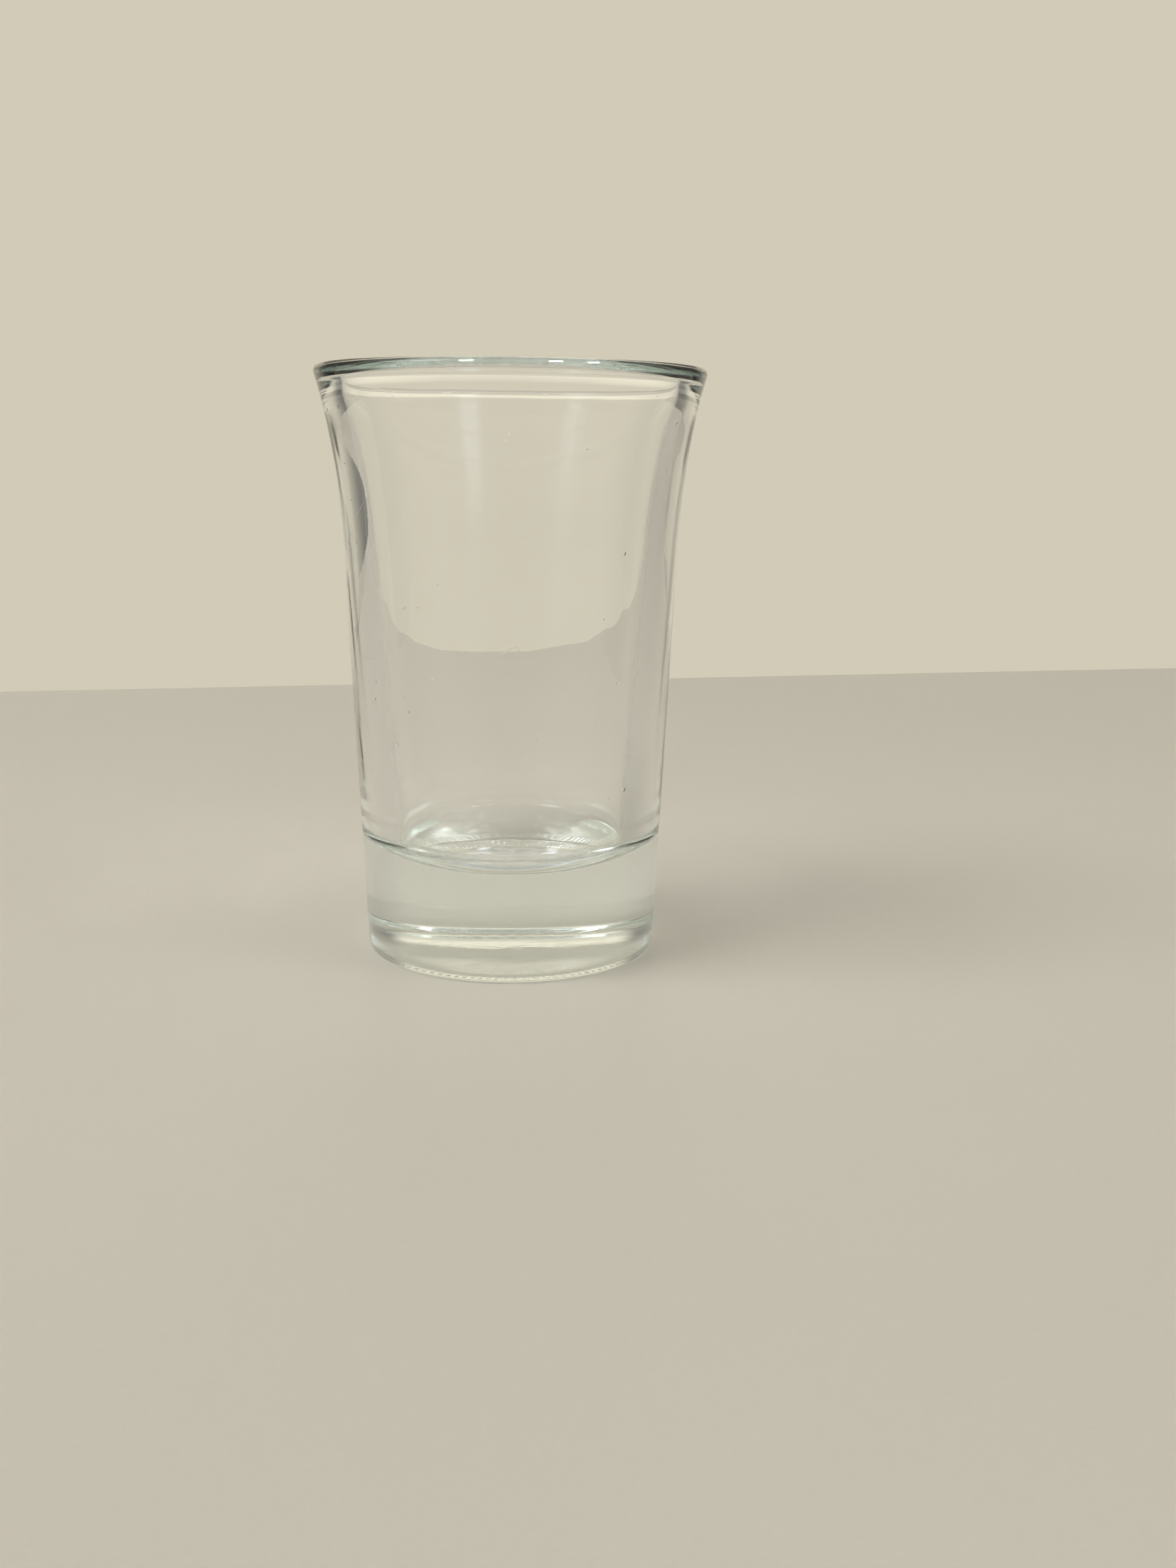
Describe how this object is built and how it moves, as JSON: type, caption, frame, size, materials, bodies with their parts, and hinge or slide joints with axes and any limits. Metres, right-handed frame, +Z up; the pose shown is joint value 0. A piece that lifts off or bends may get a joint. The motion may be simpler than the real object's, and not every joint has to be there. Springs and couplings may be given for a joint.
{
  "type": "shot glass",
  "caption": "clear pressed shot glass with a heavy solid base, gently tapered wall, flared mouth and a rounded lip, standing on a flat ring around a shallow hollow",
  "frame": {"origin": "centre of the plane the glass stands on", "axes": "+Z up along the axis of the glass; X and Y are any two square directions, because the glass is a body of revolution"},
  "size_m": [0.048, 0.048, 0.073],
  "materials": {
    "clear_glass": "fire polished, clear with a faint green tint"
  },
  "bodies": {
    "root": {"glass_body": "clear_glass"}
  },
  "joints": []
}
